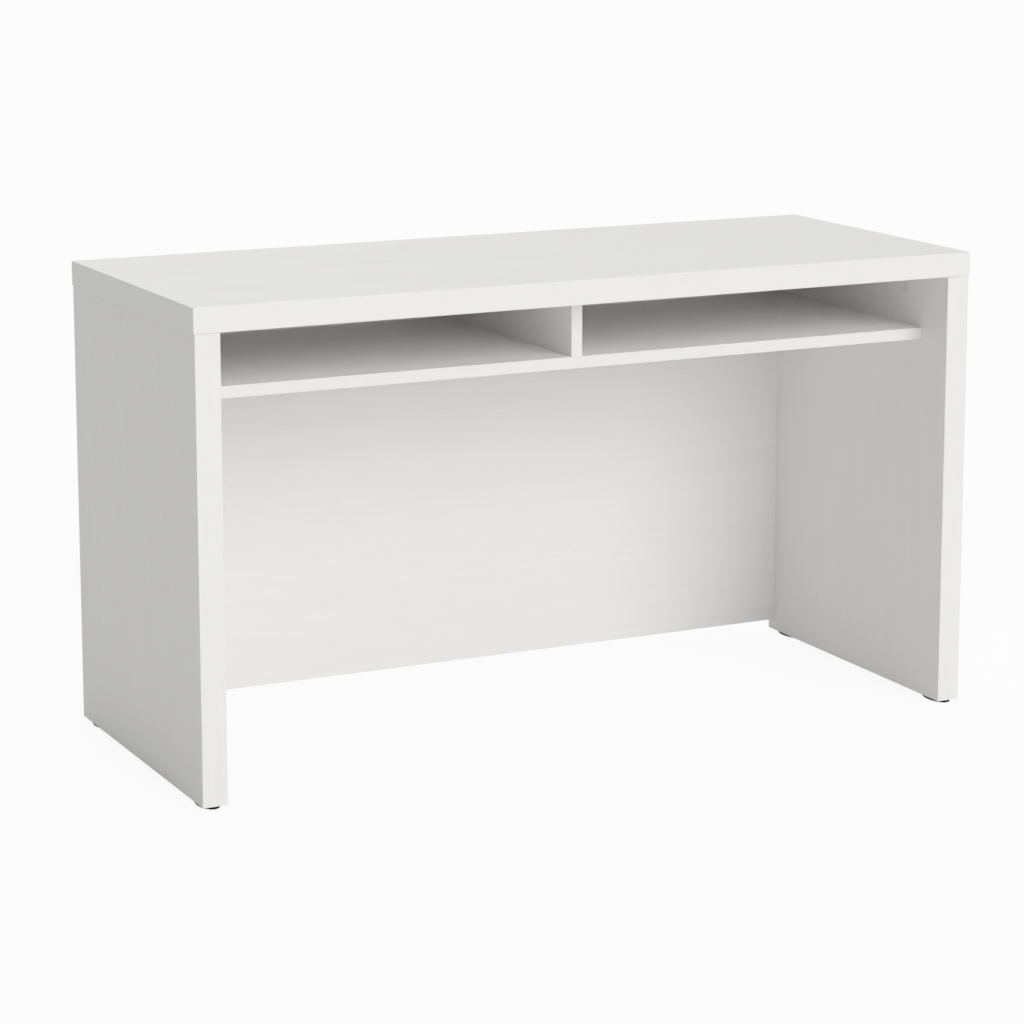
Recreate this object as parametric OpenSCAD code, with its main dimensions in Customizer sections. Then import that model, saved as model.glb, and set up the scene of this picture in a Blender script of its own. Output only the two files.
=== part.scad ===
// Desk-height console table: a slab top on two full-depth end panels, closed at
// the back, with a divided shelf hung under the top. The top and the end panels
// are hollow: two skins on a frame, filled with a paper core and edge banded.
// The origin is the middle of the footprint on the floor. +Z is up, +X is to
// the right of a person sitting at the table, and -Y is the open front.

/* [Overall] */
// Width over the top
table_w = 1350; // [1150:10:1800]
// Depth over the top, and of the end panels
table_d = 550; // [450:10:700]
// Height from the floor to the upper face of the top
table_h = 760; // [690:5:820]

/* [Top and end panels] */
// Thickness of the top
top_t = 39; // [36:1:50]
// Thickness of each end panel
end_t = 40; // [38:1:50]
// Overhang of the top past the outer face of each end panel
top_overhang = 1.5; // [0:0.5:4]

/* [Shelf, divider and back panel] */
// Thickness of the shelf, the divider and the back panel
board_t = 19; // [18:0.5:22]
// Clear height of the two bays between the shelf and the top
bay_h = 94; // [80:1:160]
// Set-back of the shelf and the divider from the front of the table
shelf_setback = 75; // [20:5:120]
// Offset of the divider from the middle, negative to the left
divider_offset = -9.5; // [-60:0.5:60]
// Height of the back panel's lower edge above the floor
back_floor_gap = 24; // [10:1:120]

/* [Hollow panel make-up] */
// Thickness of the skins
skin_t = 3; // [2.5:0.5:4]
// Thickness of the edge bands
band_t = 1; // [0.5:0.5:2]
// Width of the outer frame members along the front and the back
stile_w = 46; // [40:1:56]
// Width of the cross rails, which hold most of the fittings
rail_w = 62; // [56:1:72]
// Depth of a shelf rail below the underside of the shelf
shelf_rail_drop = 20; // [12:1:40]
// Width of a core cell across its flats
cell_w = 48; // [40:1:80]
// Thickness of the core's paper walls
cell_wall = 1.2; // [0.8:0.1:2]

/* [Cam fittings] */
// Diameter of a cam nut
cam_d = 15; // [12:1:16]
// Distance from the end of a board to the centre of its cam nuts
cam_reach = 34; // [30:1:38]
// Depth of a cam nut below the axis of its bolt
cam_floor = 4.5; // [4.5:0.5:5]
// Diameter of a cam bolt's shank and head
bolt_d = 7; // [6:0.5:7]
// Length of a cam bolt's thread
bolt_thread_l = 11; // [9:1:13]
// Thickness of the flush cover caps
cap_t = 1.2; // [0.8:0.1:1.4]

/* [Dowels and screws] */
// Diameter of a dowel
dowel_d = 8; // [6:1:8]
// Length of a dowel
dowel_l = 30; // [28:1:36]
// Length of the part of a dowel that sits in the face of a panel
dowel_face_l = 10; // [8:1:12]
// Diameter of a panel screw over its thread
screw_d = 7; // [5:0.5:7]
// Length of a panel screw
screw_l = 50; // [44:1:56]
// Diameter of a panel screw's head
screw_head_d = 10; // [9:0.5:11]
// Diameter of the cap over a panel screw
screw_cap_d = 12; // [11.5:0.5:14]
// Radial clearance of every fitting in its hole
fit_gap = 0.1; // [0.05:0.05:0.2]

/* [Fitting places] */
// Distance from an end panel's stiles to the cam fittings in its top rail
end_top_cam_inset = 78; // [60:1:100]
// Distance from an end panel's stiles to the dowels in its top rail
end_top_dowel_inset = 28; // [15:1:45]
// Distance from the shelf's front and back edges to its cam fittings
shelf_cam_inset = 60; // [40:5:90]
// Distance from the back panel's lower and upper edges to its end cam fittings
back_cam_inset = 85; // [60:5:120]
// Distance between the two dowels at each end of the back panel
back_dowel_pitch = 260; // [200:10:300]
// Number of cam fittings along the top of the back panel
back_top_cams = 4; // [4:2:6]
// Distance from the divider's front and back edges to its nearest fitting
divider_fitting_inset = 90; // [70:5:110]
// Distance from each screw of the divider back to the dowel behind it
divider_fitting_step = 70; // [40:5:80]

/* [Glides] */
// Width of a glide, across the thickness of the end panel
glide_w = 34; // [26:1:38]
// Length of a glide, front to back
glide_l = 64; // [54:1:76]
// Radius of the two narrow ends of a glide
glide_end_r = 10; // [7:0.5:12]
// Height of a glide, which lifts the end panels off the floor
glide_h = 5; // [3:0.5:8]
// Distance from the front of an end panel to its front glide
front_glide_inset = 3; // [2:1:30]
// Distance from the back of an end panel to its back glide
back_glide_inset = 13; // [2:1:30]
// Diameter of the pegs that hold a glide
peg_d = 8; // [6:1:10]
// Length of the pegs
peg_l = 14; // [10:1:20]
// Distance between the two pegs of a glide
peg_spacing = 25; // [20:1:30]

/* [Hidden] */
$fn = 48;

// Names for the two ends and for the front and the back
left = -1;
right = 1;
front = -1;
back = 1;

// Colours
laminate = "#ECECEA";
raw_board = "#C9AE86";
paper = "#C4A57A";
zinc = "#A9ACB0";
steel = "#C2C4C6";
beech = "#D8B684";
white_plastic = "#E6E6E3";
black_plastic = "#1B1B1C";

// Main planes
half_w = table_w / 2;
half_d = table_d / 2;
end_outer_x = half_w - top_overhang;
end_inner_x = end_outer_x - end_t;
inner_w = 2 * end_inner_x;
top_z = table_h - top_t;
shelf_top_z = top_z - bay_h;
shelf_z = shelf_top_z - board_t;
shelf_front_y = shelf_setback - half_d;
back_face_y = half_d - board_t;
shelf_d = back_face_y - shelf_front_y;

// Substrate of the hollow panels, inside their edge bands and skins
sub_w = table_w - 2 * band_t;
sub_d = table_d - 2 * band_t;
top_frame_z = top_z + skin_t;
top_frame_t = top_t - 2 * skin_t;
end_frame_t = end_t - 2 * skin_t;
end_z = glide_h + band_t;
end_h = top_z - end_z;
field_d = sub_d - 2 * stile_w;
top_rail_z = top_z - rail_w;
shelf_rail_z = shelf_z - shelf_rail_drop;
bottom_rail_top_z = end_z + rail_w;
top_rail_x = sub_w / 2 - rail_w;

// Fittings
fitting_inset = board_t / 2;
cam_depth = fitting_inset + cam_floor;
hole_margin = 0.5;
cut_past = 1;
thread_depth = 1;
bolt_core_d = bolt_d - 2 * thread_depth;
bolt_neck_d = bolt_d - 3;
bolt_shoulder_l = 1;
bolt_neck_z = cam_reach - cam_d / 2 - bolt_shoulder_l;
bolt_head_l = 4;
bolt_ridges = 4;
screw_core_d = screw_d - 2 * thread_depth;
screw_ridges = 9;
screw_tip_l = 2;
screw_head_l = 4;
screw_head_taper = 1;
screw_socket_d = 4;
screw_socket_l = 3;
dowel_chamfer = 1;
slot_w = 1.6;
slot_l = 8;
slot_depth = 2;

// Where the fittings sit along each joint
rail_half = field_d / 2;
shelf_mid_y = (shelf_front_y + back_face_y) / 2;
back_mid_z = (back_floor_gap + top_z) / 2;
back_top_step = inner_w / back_top_cams;
end_top_cam_y = [end_top_cam_inset - rail_half, rail_half - end_top_cam_inset];
end_top_dowel_y = [end_top_dowel_inset - rail_half, rail_half - end_top_dowel_inset];
shelf_end_cam_y = [shelf_front_y + shelf_cam_inset, back_face_y - shelf_cam_inset];
shelf_end_dowel_y = [shelf_mid_y];
back_end_cam_z = [back_floor_gap + back_cam_inset, back_mid_z, top_z - back_cam_inset];
back_end_dowel_z = [back_mid_z - back_dowel_pitch / 2, back_mid_z + back_dowel_pitch / 2];
back_top_cam_x = [for (i = [0 : back_top_cams - 1]) (i + 0.5) * back_top_step - end_inner_x];
back_top_dowel_x = [-back_top_step, back_top_step];
shelf_back_screw_x = back_top_cam_x;
divider_screw_y = [
    shelf_front_y + divider_fitting_inset,
    back_face_y - divider_fitting_inset - divider_fitting_step
];
divider_dowel_y = [for (y = divider_screw_y) y + divider_fitting_step];
glide_y = [
    front_glide_inset + glide_l / 2 - half_d,
    half_d - back_glide_inset - glide_l / 2
];
end_mid_x = end_inner_x + end_t / 2;

// ---- Helpers ----

// A box between two opposite corners
module box(low, high) {
    translate(low)
    cube(high - low);
}

// Everything is drawn for the left end, and mirrored for the right one
module on_end(end) {
    if (end == left) children();
    else mirror([1, 0, 0]) children();
}

// A paper core field of size_x by size_y, centred, with a closed strip all round
module core_field(size_x, size_y, thickness) {
    cell_r = cell_w / sqrt(3);
    pitch_x = 1.5 * cell_r;
    columns = ceil(size_x / 2 / pitch_x);
    rows = ceil(size_y / 2 / cell_w);
    linear_extrude(thickness)
    difference() {
        square([size_x, size_y], center = true);
        intersection() {
            square([size_x - 2 * cell_wall, size_y - 2 * cell_wall], center = true);
            for (column = [-columns : columns], row = [-rows : rows])
                translate([column * pitch_x, (row + (column % 2 == 0 ? 0 : 0.5)) * cell_w])
                circle(r = cell_r - cell_wall / sqrt(3), $fn = 6);
        }
    }
}

// The saw-tooth outline of a thread, from one height to another
function thread_outline(core_r, crest_r, from, to, ridges) = [
    for (i = [0 : ridges - 1], half = [0, 0.5])
        [half == 0 ? core_r : crest_r, from + (i + half) * (to - from) / ridges]
];

// ---- Joint places ----
// Each of these puts its children at places along one joint. Their origin lies
// in the plane where the two panels meet, and +Z runs into the panel whose end
// or edge is joined. On a cam joint, +X points to the face that the cam is in.

module end_top_places(end, ys) {
    for (y = ys) on_end(end)
        translate([-end_inner_x - fitting_inset, y, top_z])
        rotate([180, 0, 0])
        children();
}

module shelf_end_places(end, ys) {
    for (y = ys) on_end(end)
        translate([-end_inner_x, y, shelf_z + board_t / 2])
        rotate([0, 90, 0])
        children();
}

module back_end_places(end, zs) {
    for (z = zs) on_end(end)
        translate([-end_inner_x, back_face_y + board_t / 2, z])
        rotate([90, 0, 90])
        children();
}

module back_top_places(xs) {
    for (x = xs)
        translate([x, back_face_y + board_t / 2, top_z])
        rotate([180, 0, 90])
        children();
}

module divider_top_places() {
    for (y = divider_dowel_y)
        translate([divider_offset, y, top_z])
        rotate([180, 0, 0])
        children();
}

// Screws start at the face they are driven into, and +Z is the way they go
module shelf_back_places() {
    for (x = shelf_back_screw_x)
        translate([x, half_d, shelf_z + board_t / 2])
        rotate([90, 0, 0])
        children();
}

module divider_back_place() {
    translate([divider_offset, half_d, top_z - bay_h / 2])
    rotate([90, 0, 0])
    children();
}

module divider_shelf_places() {
    for (y = divider_screw_y)
        translate([divider_offset, y, shelf_z])
        children();
}

module glide_place(end, place) {
    on_end(end)
    translate([-end_mid_x, glide_y[(place + 1) / 2], 0])
    children();
}

// Every cam fitting, dowel and screw of the table
module all_cam_places() {
    for (end = [left, right]) {
        end_top_places(end, end_top_cam_y) children();
        shelf_end_places(end, shelf_end_cam_y) children();
        back_end_places(end, back_end_cam_z) children();
    }
    back_top_places(back_top_cam_x) children();
}

module all_dowel_places() {
    for (end = [left, right]) {
        end_top_places(end, end_top_dowel_y) children();
        shelf_end_places(end, shelf_end_dowel_y) children();
        back_end_places(end, back_end_dowel_z) children();
    }
    back_top_places(back_top_dowel_x) children();
    divider_top_places() children();
}

module all_screw_places() {
    shelf_back_places() children();
    divider_back_place() children();
    divider_shelf_places() children();
}

// ---- Holes ----

module cam_holes() {
    translate([0, 0, -bolt_thread_l - hole_margin])
    cylinder(d = bolt_d + 2 * fit_gap, h = bolt_thread_l + hole_margin + cam_reach);
    translate([-cam_floor, 0, cam_reach])
    rotate([0, 90, 0])
    cylinder(d = cam_d + 2 * fit_gap, h = cam_depth + cut_past);
}

module dowel_hole() {
    translate([0, 0, -dowel_face_l - hole_margin])
    cylinder(d = dowel_d + 2 * fit_gap, h = dowel_l + 2 * hole_margin);
}

module screw_hole() {
    translate([0, 0, -cut_past])
    cylinder(d = screw_cap_d + 2 * fit_gap, h = cap_t + cut_past);
    translate([0, 0, cap_t])
    cylinder(d = screw_head_d + 2 * fit_gap, h = screw_head_l);
    translate([0, 0, cap_t])
    cylinder(d = screw_d + 2 * fit_gap, h = screw_l + hole_margin);
}

module peg_holes() {
    for (y = [-peg_spacing / 2, peg_spacing / 2])
        translate([0, y, glide_h])
        cylinder(d = peg_d + 2 * fit_gap, h = peg_l + hole_margin);
}

module end_top_holes(end) {
    end_top_places(end, end_top_cam_y) cam_holes();
    end_top_places(end, end_top_dowel_y) dowel_hole();
}

module shelf_end_holes(end) {
    shelf_end_places(end, shelf_end_cam_y) cam_holes();
    shelf_end_places(end, shelf_end_dowel_y) dowel_hole();
}

module back_end_holes(end) {
    back_end_places(end, back_end_cam_z) cam_holes();
    back_end_places(end, back_end_dowel_z) dowel_hole();
}

module back_top_holes() {
    back_top_places(back_top_cam_x) cam_holes();
    back_top_places(back_top_dowel_x) dowel_hole();
}

module glide_holes(end) {
    for (place = [front, back]) glide_place(end, place) peg_holes();
}

// ---- Top ----

module top_upper_skin() {
    color(laminate)
    box([-sub_w / 2, -sub_d / 2, table_h - skin_t], [sub_w / 2, sub_d / 2, table_h]);
}

module top_lower_skin() {
    color(laminate)
    difference() {
        box([-sub_w / 2, -sub_d / 2, top_z], [sub_w / 2, sub_d / 2, top_z + skin_t]);
        for (end = [left, right]) end_top_holes(end);
        back_top_holes();
        divider_top_places() dowel_hole();
    }
}

// Front or back member of the top's frame
module top_long_rail(place) {
    y = place == front ? -sub_d / 2 : sub_d / 2 - stile_w;
    color(raw_board)
    difference() {
        translate([-sub_w / 2, y, top_frame_z])
        cube([sub_w, stile_w, top_frame_t]);
        back_top_holes();
    }
}

module top_front_rail() {
    top_long_rail(front);
}

module top_back_rail() {
    top_long_rail(back);
}

// Cross rail of the top's frame, from one side line towards +X
module top_cross_rail(x) {
    translate([x, -rail_half, top_frame_z])
    cube([rail_w, field_d, top_frame_t]);
}

module top_end_rail(end) {
    color(raw_board)
    difference() {
        on_end(end) top_cross_rail(-sub_w / 2);
        end_top_holes(end);
    }
}

module top_left_rail() {
    top_end_rail(left);
}

module top_right_rail() {
    top_end_rail(right);
}

module top_centre_rail() {
    color(raw_board)
    difference() {
        top_cross_rail(divider_offset - rail_w / 2);
        divider_top_places() dowel_hole();
    }
}

// The core between two cross rails
module top_core(from_x, to_x) {
    color(paper)
    translate([(from_x + to_x) / 2, 0, top_frame_z])
    core_field(to_x - from_x, field_d, top_frame_t);
}

module top_core_left() {
    top_core(-top_rail_x, divider_offset - rail_w / 2);
}

module top_core_right() {
    top_core(divider_offset + rail_w / 2, top_rail_x);
}

// The long bands run to the corners, and the end bands fit between them
module top_long_band(place) {
    y = place == front ? -half_d : half_d - band_t;
    color(laminate)
    translate([-half_w, y, top_z])
    cube([table_w, band_t, top_t]);
}

module top_front_band() {
    top_long_band(front);
}

module top_back_band() {
    top_long_band(back);
}

module top_end_band(end) {
    color(laminate)
    on_end(end)
    translate([-half_w, -sub_d / 2, top_z])
    cube([band_t, sub_d, top_t]);
}

module top_left_band() {
    top_end_band(left);
}

module top_right_band() {
    top_end_band(right);
}

// ---- End panels ----

module end_outer_skin(end) {
    color(laminate)
    on_end(end)
    translate([-end_outer_x, -sub_d / 2, end_z])
    cube([skin_t, sub_d, end_h]);
}

module end_inner_skin(end) {
    color(laminate)
    difference() {
        on_end(end)
        translate([-end_inner_x - skin_t, -sub_d / 2, end_z])
        cube([skin_t, sub_d, end_h]);
        end_top_holes(end);
        shelf_end_holes(end);
        back_end_holes(end);
    }
}

// Upright at the front or the back of an end panel's frame
module end_stile(end, place) {
    y = place == front ? -sub_d / 2 : sub_d / 2 - stile_w;
    color(raw_board)
    difference() {
        on_end(end)
        translate([-end_outer_x + skin_t, y, end_z])
        cube([end_frame_t, stile_w, end_h]);
        shelf_end_holes(end);
        back_end_holes(end);
        glide_holes(end);
    }
}

// Cross rail of an end panel's frame, between two heights
module end_cross_rail(end, from_z, to_z) {
    on_end(end)
    translate([-end_outer_x + skin_t, -rail_half, from_z])
    cube([end_frame_t, field_d, to_z - from_z]);
}

module end_top_rail(end) {
    color(raw_board)
    difference() {
        end_cross_rail(end, top_rail_z, top_z);
        end_top_holes(end);
    }
}

module end_shelf_rail(end) {
    color(raw_board)
    difference() {
        end_cross_rail(end, shelf_rail_z, top_rail_z);
        shelf_end_holes(end);
    }
}

module end_bottom_rail(end) {
    color(raw_board)
    difference() {
        end_cross_rail(end, end_z, bottom_rail_top_z);
        glide_holes(end);
    }
}

module end_core(end) {
    color(paper)
    on_end(end)
    translate([-end_outer_x + skin_t, 0, (shelf_rail_z + bottom_rail_top_z) / 2])
    rotate([90, 0, 90])
    core_field(field_d, shelf_rail_z - bottom_rail_top_z, end_frame_t);
}

// The upright bands run the full height, and the bottom band fits between them
module end_upright_band(end, place) {
    y = place == front ? -half_d : half_d - band_t;
    color(laminate)
    on_end(end)
    translate([-end_outer_x, y, glide_h])
    cube([end_t, band_t, top_z - glide_h]);
}

module end_bottom_band(end) {
    color(laminate)
    difference() {
        on_end(end)
        translate([-end_outer_x, -sub_d / 2, glide_h])
        cube([end_t, sub_d, band_t]);
        glide_holes(end);
    }
}

module left_outer_skin() {
    end_outer_skin(left);
}

module left_inner_skin() {
    end_inner_skin(left);
}

module left_front_stile() {
    end_stile(left, front);
}

module left_back_stile() {
    end_stile(left, back);
}

module left_top_rail() {
    end_top_rail(left);
}

module left_shelf_rail() {
    end_shelf_rail(left);
}

module left_bottom_rail() {
    end_bottom_rail(left);
}

module left_core() {
    end_core(left);
}

module left_front_band() {
    end_upright_band(left, front);
}

module left_back_band() {
    end_upright_band(left, back);
}

module left_bottom_band() {
    end_bottom_band(left);
}

module right_outer_skin() {
    end_outer_skin(right);
}

module right_inner_skin() {
    end_inner_skin(right);
}

module right_front_stile() {
    end_stile(right, front);
}

module right_back_stile() {
    end_stile(right, back);
}

module right_top_rail() {
    end_top_rail(right);
}

module right_shelf_rail() {
    end_shelf_rail(right);
}

module right_bottom_rail() {
    end_bottom_rail(right);
}

module right_core() {
    end_core(right);
}

module right_front_band() {
    end_upright_band(right, front);
}

module right_back_band() {
    end_upright_band(right, back);
}

module right_bottom_band() {
    end_bottom_band(right);
}

// ---- Back panel, shelf and divider ----

module back_panel() {
    color(laminate)
    difference() {
        box([-end_inner_x, back_face_y, back_floor_gap + band_t], [end_inner_x, half_d, top_z]);
        for (end = [left, right]) back_end_holes(end);
        back_top_holes();
        shelf_back_places() screw_hole();
        divider_back_place() screw_hole();
    }
}

module back_panel_band() {
    color(laminate)
    translate([-end_inner_x, back_face_y, back_floor_gap])
    cube([inner_w, board_t, band_t]);
}

module shelf() {
    color(laminate)
    difference() {
        box([-end_inner_x, shelf_front_y + band_t, shelf_z], [end_inner_x, back_face_y, shelf_top_z]);
        for (end = [left, right]) shelf_end_holes(end);
        shelf_back_places() screw_hole();
        divider_shelf_places() screw_hole();
    }
}

module shelf_band() {
    color(laminate)
    translate([-end_inner_x, shelf_front_y, shelf_z])
    cube([inner_w, band_t, board_t]);
}

module divider() {
    color(laminate)
    difference() {
        translate([divider_offset - board_t / 2, shelf_front_y + band_t, shelf_top_z])
        cube([board_t, shelf_d - band_t, bay_h]);
        divider_top_places() dowel_hole();
        divider_back_place() screw_hole();
        divider_shelf_places() screw_hole();
    }
}

module divider_band() {
    color(laminate)
    translate([divider_offset - board_t / 2, shelf_front_y, shelf_top_z])
    cube([board_t, band_t, bay_h]);
}

// ---- Fittings ----

// A cross-shaped driver slot that opens towards +Z
module driver_cross() {
    for (turn = [0, 90]) rotate(turn)
        translate([-slot_l / 2, -slot_w / 2, 0])
        cube([slot_l, slot_w, slot_depth + cut_past]);
}

// The nut takes the bolt's head through its side, and is turned from its face
module cam_nut() {
    translate([0, 0, cam_reach])
    rotate([0, 90, 0])
    difference() {
        translate([0, 0, -cam_floor])
        cylinder(d = cam_d, h = cam_depth - cap_t);
        rotate([0, 90, 0])
        cylinder(d = bolt_d + 4 * fit_gap, h = cam_d);
        rotate([0, 90, 0])
        sphere(d = bolt_d + 4 * fit_gap);
        translate([0, 0, fitting_inset - cap_t - slot_depth])
        driver_cross();
    }
}

module cam_bolt() {
    thread_r = bolt_d / 2;
    head_r = bolt_d / 2 - fit_gap;
    rotate_extrude()
    polygon(concat(
        [[0, -bolt_thread_l]],
        thread_outline(bolt_core_d / 2, thread_r, -bolt_thread_l, 0, bolt_ridges),
        [
            [bolt_core_d / 2, 0],
            [thread_r, 0],
            [thread_r, bolt_neck_z - bolt_shoulder_l],
            [bolt_neck_d / 2, bolt_neck_z],
            [bolt_neck_d / 2, cam_reach - bolt_head_l / 2],
            [head_r, cam_reach - bolt_head_l / 4],
            [head_r, cam_reach + bolt_head_l / 4],
            [bolt_neck_d / 2, cam_reach + bolt_head_l / 2],
            [0, cam_reach + bolt_head_l / 2]
        ]
    ));
}

// A flush cap with a short cross that clips into the nut's driver slot
module cam_cap() {
    stem_l = slot_depth - 2 * fit_gap;
    translate([fitting_inset - cap_t, 0, cam_reach])
    rotate([0, 90, 0]) {
        cylinder(d = cam_d, h = cap_t);
        for (turn = [0, 90]) rotate(turn)
            translate([-slot_l / 2 + fit_gap, -slot_w / 2 + fit_gap, -stem_l])
            cube([slot_l - 2 * fit_gap, slot_w - 2 * fit_gap, stem_l]);
    }
}

module dowel() {
    r = dowel_d / 2;
    tip_r = r - dowel_chamfer;
    from = -dowel_face_l;
    to = dowel_l - dowel_face_l;
    rotate_extrude()
    polygon([
        [0, from],
        [tip_r, from],
        [r, from + dowel_chamfer],
        [r, to - dowel_chamfer],
        [tip_r, to],
        [0, to]
    ]);
}

module panel_screw() {
    head_z = cap_t;
    neck_z = cap_t + screw_head_l;
    thread_z = cap_t + board_t;
    tip_z = cap_t + screw_l;
    difference() {
        rotate_extrude()
        polygon(concat(
            [
                [0, head_z],
                [screw_head_d / 2, head_z],
                [screw_head_d / 2, neck_z - screw_head_taper],
                [screw_d / 2, neck_z],
                [screw_d / 2, thread_z]
            ],
            thread_outline(screw_core_d / 2, screw_d / 2, thread_z, tip_z - screw_tip_l, screw_ridges),
            [
                [screw_core_d / 2, tip_z - screw_tip_l],
                [0, tip_z]
            ]
        ));
        translate([0, 0, head_z - cut_past])
        cylinder(d = screw_socket_d, h = screw_socket_l + cut_past, $fn = 6);
    }
}

// A flush cap with a stem that plugs into the screw's socket
module screw_cap() {
    cylinder(d = screw_cap_d, h = cap_t);
    cylinder(d = screw_socket_d * cos(30) - 2 * fit_gap, h = cap_t + screw_socket_l - fit_gap);
}

module cam_nuts() {
    color(zinc)
    all_cam_places() cam_nut();
}

module cam_bolts() {
    color(steel)
    all_cam_places() cam_bolt();
}

module cam_caps() {
    color(white_plastic)
    all_cam_places() cam_cap();
}

module dowels() {
    color(beech)
    all_dowel_places() dowel();
}

module panel_screws() {
    color(steel)
    all_screw_places() panel_screw();
}

module screw_caps() {
    color(white_plastic)
    all_screw_places() screw_cap();
}

// ---- Glides ----

// The long sides of a glide, two shallow arcs that run smoothly into its ends
module glide_sides() {
    end_y = glide_l / 2 - glide_end_r;
    side_r = (pow(glide_w / 2, 2) + pow(end_y, 2) - pow(glide_end_r, 2))
        / (glide_w - 2 * glide_end_r);
    join_y = side_r * end_y / (side_r - glide_end_r);
    intersection() {
        translate([glide_w / 2 - side_r, 0, 0])
        cylinder(r = side_r, h = glide_h);
        translate([side_r - glide_w / 2, 0, 0])
        cylinder(r = side_r, h = glide_h);
        translate([-glide_w / 2, -join_y, 0])
        cube([glide_w, 2 * join_y, glide_h]);
    }
}

// An oval pad on the floor, with two pegs pressed up into the end panel
module glide(end, place) {
    end_y = glide_l / 2 - glide_end_r;
    color(black_plastic)
    glide_place(end, place) {
        glide_sides();
        for (y = [-end_y, end_y])
            translate([0, y, 0])
            cylinder(r = glide_end_r, h = glide_h);
        for (y = [-peg_spacing / 2, peg_spacing / 2])
            translate([0, y, 0])
            cylinder(d = peg_d, h = glide_h + peg_l);
    }
}

module front_left_glide() {
    glide(left, front);
}

module front_right_glide() {
    glide(right, front);
}

module back_left_glide() {
    glide(left, back);
}

module back_right_glide() {
    glide(right, back);
}

// ---- Nodes ----

top_upper_skin();
top_lower_skin();
top_front_rail();
top_back_rail();
top_left_rail();
top_right_rail();
top_centre_rail();
top_core_left();
top_core_right();
top_front_band();
top_back_band();
top_left_band();
top_right_band();
left_outer_skin();
left_inner_skin();
left_front_stile();
left_back_stile();
left_top_rail();
left_shelf_rail();
left_bottom_rail();
left_core();
left_front_band();
left_back_band();
left_bottom_band();
right_outer_skin();
right_inner_skin();
right_front_stile();
right_back_stile();
right_top_rail();
right_shelf_rail();
right_bottom_rail();
right_core();
right_front_band();
right_back_band();
right_bottom_band();
back_panel();
back_panel_band();
shelf();
shelf_band();
divider();
divider_band();
cam_nuts();
cam_bolts();
cam_caps();
dowels();
panel_screws();
screw_caps();
front_left_glide();
front_right_glide();
back_left_glide();
back_right_glide();
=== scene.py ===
"""The looks of a white wood-grain console table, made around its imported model.

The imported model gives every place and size. Each sub-assembly reads the boxes
of its own parts, models them with eased edges and drilled holes, and dresses
them in its finishes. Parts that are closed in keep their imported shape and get
a finish of their own.
"""

import logging
import math
from dataclasses import dataclass, field
from enum import Enum
from typing import Any, Callable

import bmesh
import bpy
from mathutils import Matrix, Vector


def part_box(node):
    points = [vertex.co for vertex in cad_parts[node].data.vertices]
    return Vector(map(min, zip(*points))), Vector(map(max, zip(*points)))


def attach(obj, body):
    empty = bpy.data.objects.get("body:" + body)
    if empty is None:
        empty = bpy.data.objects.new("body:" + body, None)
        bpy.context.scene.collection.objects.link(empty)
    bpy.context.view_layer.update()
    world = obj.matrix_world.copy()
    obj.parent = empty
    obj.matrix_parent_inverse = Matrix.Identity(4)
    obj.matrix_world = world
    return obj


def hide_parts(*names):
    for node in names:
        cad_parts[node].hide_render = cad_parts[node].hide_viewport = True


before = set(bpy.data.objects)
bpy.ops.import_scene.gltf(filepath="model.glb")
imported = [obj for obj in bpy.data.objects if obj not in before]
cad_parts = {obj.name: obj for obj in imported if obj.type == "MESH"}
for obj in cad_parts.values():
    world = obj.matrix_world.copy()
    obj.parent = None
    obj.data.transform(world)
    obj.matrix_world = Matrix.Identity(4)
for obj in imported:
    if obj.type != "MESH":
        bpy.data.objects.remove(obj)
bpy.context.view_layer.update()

log = logging.getLogger("console_table")

MM = 0.001
TOUCH = 0.01 * MM
FACING = 0.9
RIM_SHARE = 0.98
WHITE = (1.0, 1.0, 1.0, 1.0)
BODY = "root"

Colour = tuple[float, float, float]
Triple = tuple[float, float, float]
Piece = bpy.types.Object


# ---- Choices ----


class Grain(Enum):
    """Which way the grain runs, as the turn that brings it onto X."""

    LENGTHWISE = (0.0, 0.0, 0.0)
    CROSSWISE = (0.0, 0.0, math.pi / 2)
    UPRIGHT = (0.0, math.pi / 2, 0.0)


class Side(Enum):
    """The two end panels, and the way that each one's outer face looks."""

    LEFT = -1
    RIGHT = 1

    @property
    def word(self) -> str:
        """The side's name as it stands in the names of parts."""
        return self.name.lower()


GLIDES = tuple(f"{end}_{side.word}_glide" for end in ("front", "back") for side in Side)


class Rounded(Enum):
    """Which edges of an edge band's outer face are rounded over."""

    ALL_ROUND = "all round"
    LONG_EDGES = "long edges"


# ---- Materials ----


class Signal:
    """One number socket of a material, on which arithmetic adds Math nodes."""

    def __init__(self, shop: "MaterialShop", socket: bpy.types.NodeSocket) -> None:
        """Keeps the socket and the material it belongs to."""
        self.shop = shop
        self.socket = socket

    def __add__(self, other: Any) -> "Signal":
        """This signal plus another signal or a number."""
        return self.shop.math("ADD", self, other)

    __radd__ = __add__

    def __sub__(self, other: Any) -> "Signal":
        """This signal less another signal or a number."""
        return self.shop.math("SUBTRACT", self, other)

    def __rsub__(self, other: Any) -> "Signal":
        """A number less this signal."""
        return self.shop.math("SUBTRACT", other, self)

    def __mul__(self, other: Any) -> "Signal":
        """This signal times another signal or a number."""
        return self.shop.math("MULTIPLY", self, other)

    __rmul__ = __mul__

    def wave(self) -> "Signal":
        """The sine of this signal, in radians."""
        return self.shop.math("SINE", self)

    def between(self, low: float, high: float) -> "Signal":
        """This signal as a share of the way from low to high, held to 0 and 1.

        Args:
            low: The value that becomes 0.
            high: The value that becomes 1.

        Returns:
            The clamped share.
        """
        spread = self.shop.node(
            "ShaderNodeMapRange",
            {"clamp": True},
            {"Value": self, "From Min": low, "From Max": high},
        )
        return Signal(self.shop, spread.outputs["Result"])


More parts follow.
